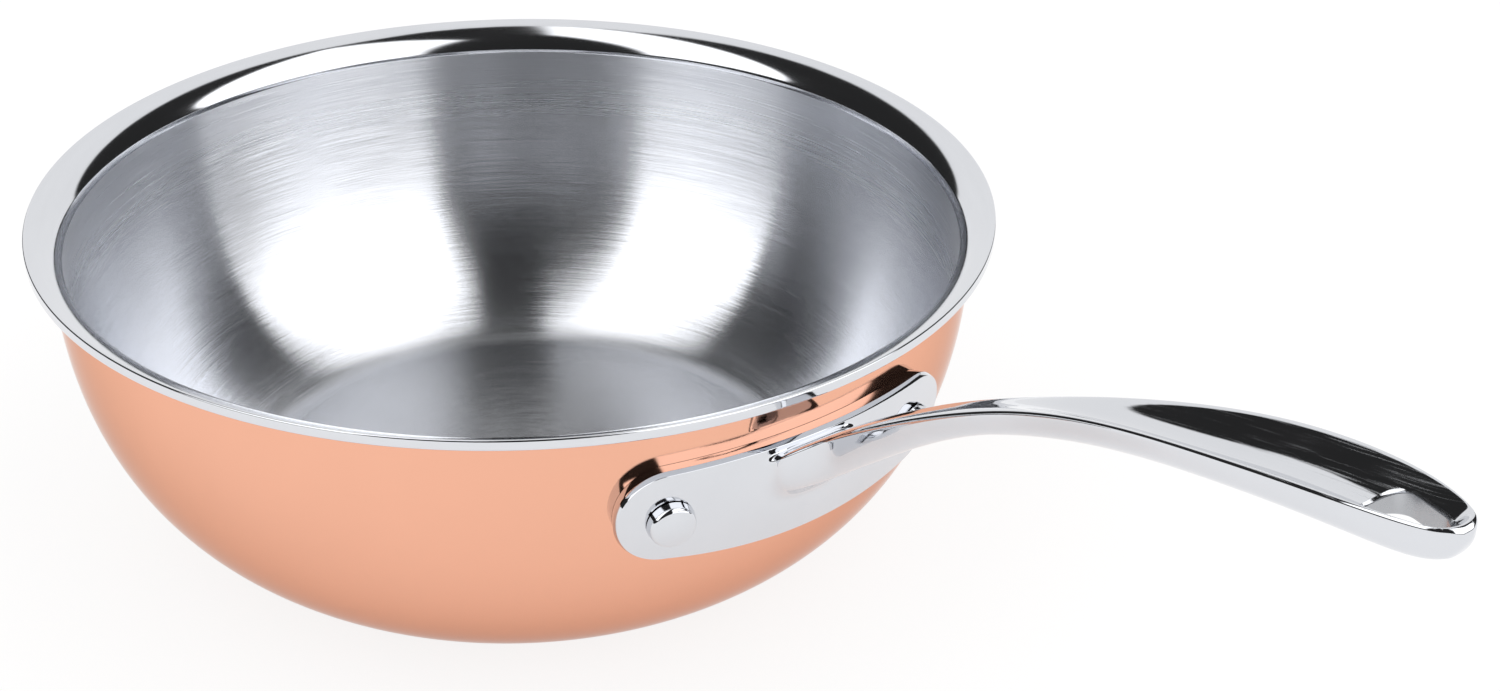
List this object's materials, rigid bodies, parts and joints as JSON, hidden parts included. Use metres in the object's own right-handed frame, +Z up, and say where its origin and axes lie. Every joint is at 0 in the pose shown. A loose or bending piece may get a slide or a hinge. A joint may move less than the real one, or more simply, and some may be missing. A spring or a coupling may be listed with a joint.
{
  "type": "saute pan",
  "caption": "Round-sided saute pan: copper-faced bowl with a brushed steel inside, a flared pouring lip and a riveted, dished stick handle with a hanging hole.",
  "frame": {"origin": "middle of the flat base, where the pan stands", "axes": "+Z up, out of the bowl's mouth; +X from the bowl along the handle to its tip; +Y to the left of that"},
  "size_m": [0.4221, 0.252, 0.1411],
  "materials": {
    "brushed_steel": "brushed round the bowl, polished on the lip",
    "aluminium": "plain rolled, sealed inside",
    "polished_copper": "mirror-polished copper",
    "polished_steel": "mirror-polished stainless steel"
  },
  "bodies": {
    "root": {"steel_lining": "brushed_steel", "aluminium_core": "aluminium", "copper_shell": "polished_copper", "handle": "polished_steel", "rivet_left": "polished_steel", "rivet_right": "polished_steel"}
  },
  "joints": []
}
